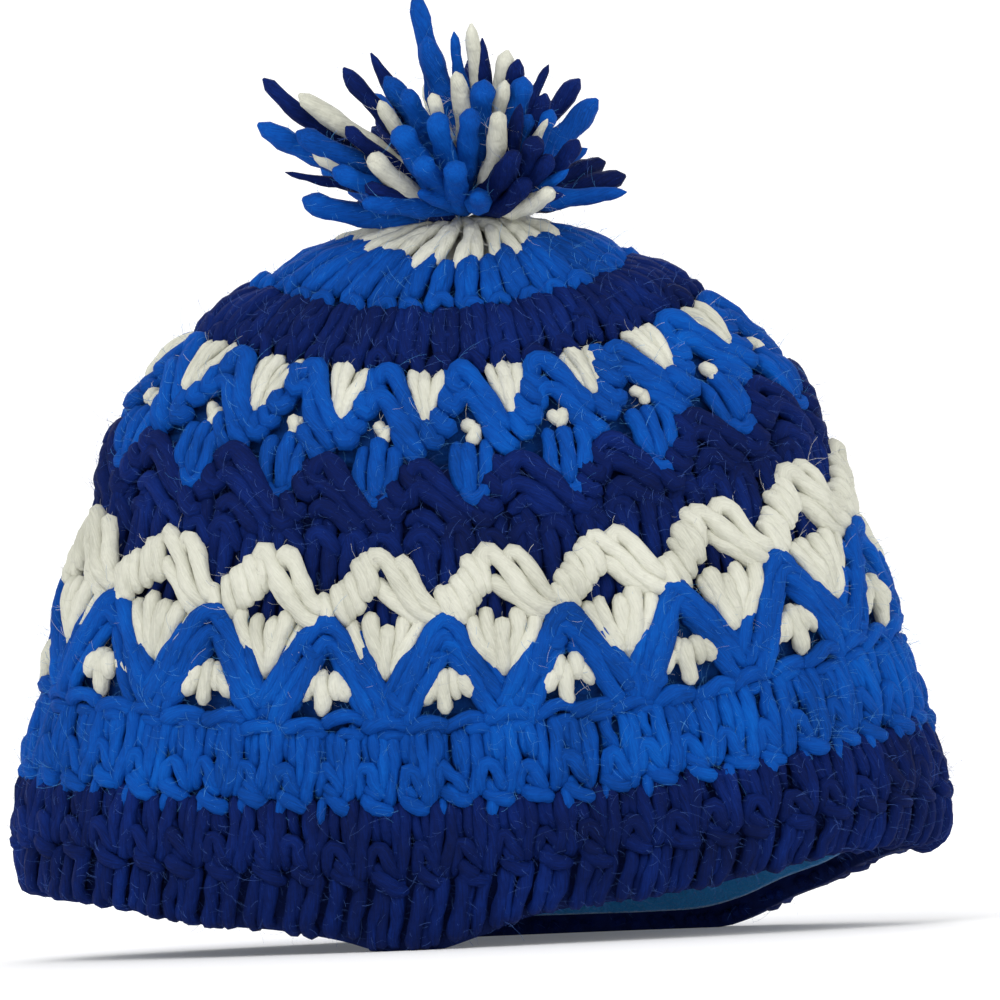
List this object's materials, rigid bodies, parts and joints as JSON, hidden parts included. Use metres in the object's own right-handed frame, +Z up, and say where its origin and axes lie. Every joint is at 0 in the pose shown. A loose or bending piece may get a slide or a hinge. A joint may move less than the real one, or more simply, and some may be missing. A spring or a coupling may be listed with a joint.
{
  "type": "crochet pompom beanie",
  "caption": "Chunky crochet beanie in blue and ivory bands with a zigzag, a fleece sweatband inside the rim and a loose yarn pompom on the crown.",
  "frame": {"origin": "on the surface that the hat rests on, under the middle of the rim", "axes": "+Z is up to the crown, -Y is the front that the picture shows, X runs across the flat width"},
  "size_m": [0.2664, 0.1334, 0.2719],
  "materials": {
    "royal_yarn": "fuzzy royal blue wool",
    "navy_yarn": "fuzzy navy blue wool",
    "ivory_yarn": "fuzzy ivory wool",
    "pompom_yarn": "soft roving in royal blue, navy and ivory",
    "fleece": "matt blue fleece"
  },
  "bodies": {
    "root": {"navy_brim": "navy_yarn", "royal_rib_round": "royal_yarn", "royal_arch_round": "royal_yarn", "ivory_zigzag_round": "ivory_yarn", "navy_middle_round": "navy_yarn", "royal_lace_round": "royal_yarn", "navy_crown_round": "navy_yarn", "royal_crown_round": "royal_yarn", "ivory_crown_cap": "ivory_yarn", "fleece_sweatband": "fleece", "yarn_pompom": "pompom_yarn"}
  },
  "joints": []
}
